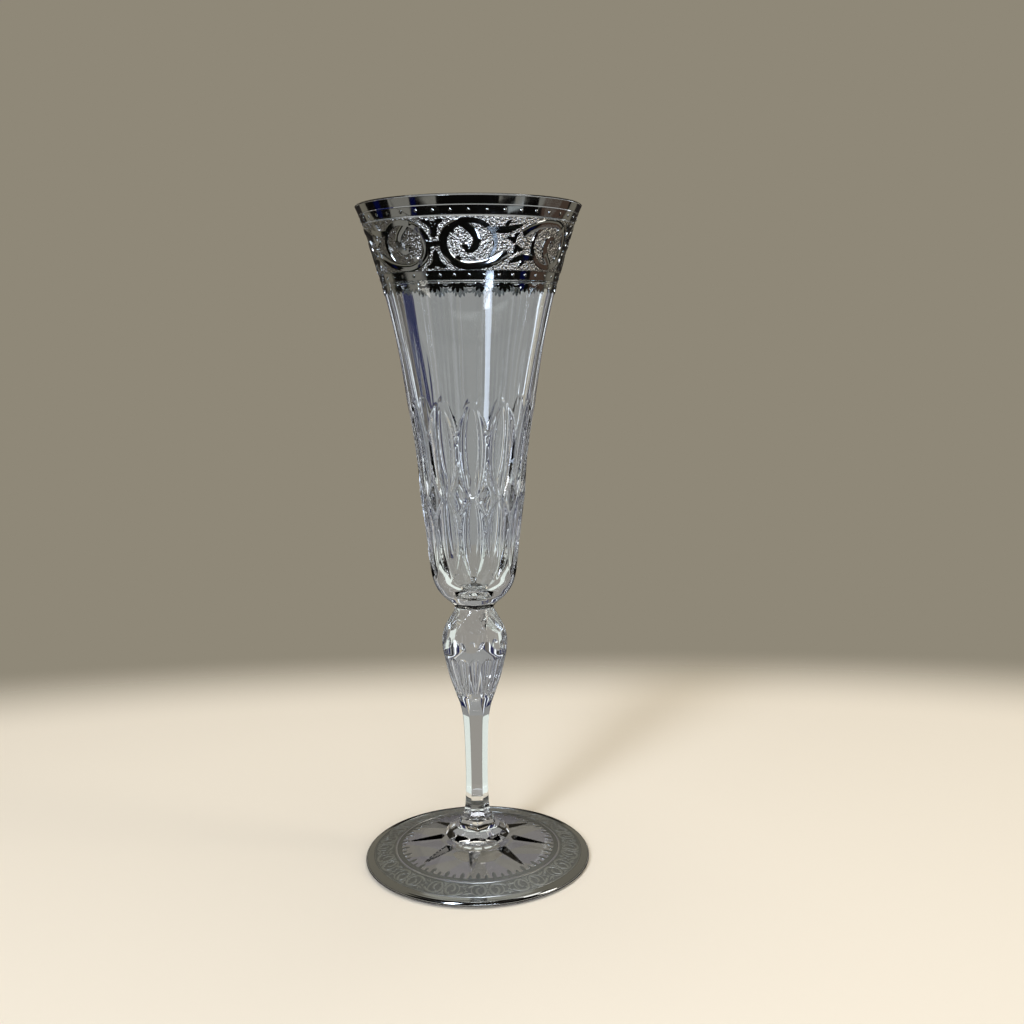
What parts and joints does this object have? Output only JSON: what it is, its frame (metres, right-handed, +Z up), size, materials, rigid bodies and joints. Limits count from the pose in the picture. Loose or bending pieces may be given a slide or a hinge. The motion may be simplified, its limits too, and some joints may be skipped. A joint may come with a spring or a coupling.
{
  "type": "champagne flute",
  "caption": "tall cut-crystal champagne flute: trumpet bowl with platinum bands, cut ovals, faceted knop, hexagonal stem, round banded foot",
  "frame": {"origin": "centre of the foot's flat resting ring, on the surface that the flute stands on", "axes": "+Z runs up the flute's axis from the foot to the rim, -Y is the front, where one volute of the frieze is centred, +X is to the right"},
  "size_m": [0.0776, 0.0776, 0.22],
  "materials": {
    "crystal": "polished",
    "crystal_foot": "polished",
    "platinum_polished": "mirror",
    "platinum_etched": "satin"
  },
  "bodies": {
    "root": {"bowl": "crystal", "neck_ring": "crystal", "knop": "crystal", "stem": "crystal", "collar": "crystal", "foot": "crystal_foot", "lip_band": "platinum_polished", "upper_beaded_rail": "platinum_polished", "scroll_frieze": "platinum_etched", "lower_beaded_rail": "platinum_polished", "palmette_fringe": "platinum_etched", "foot_edge_band": "platinum_polished", "foot_scroll_frieze": "platinum_etched", "foot_leaf_fringe": "platinum_etched"}
  },
  "joints": []
}
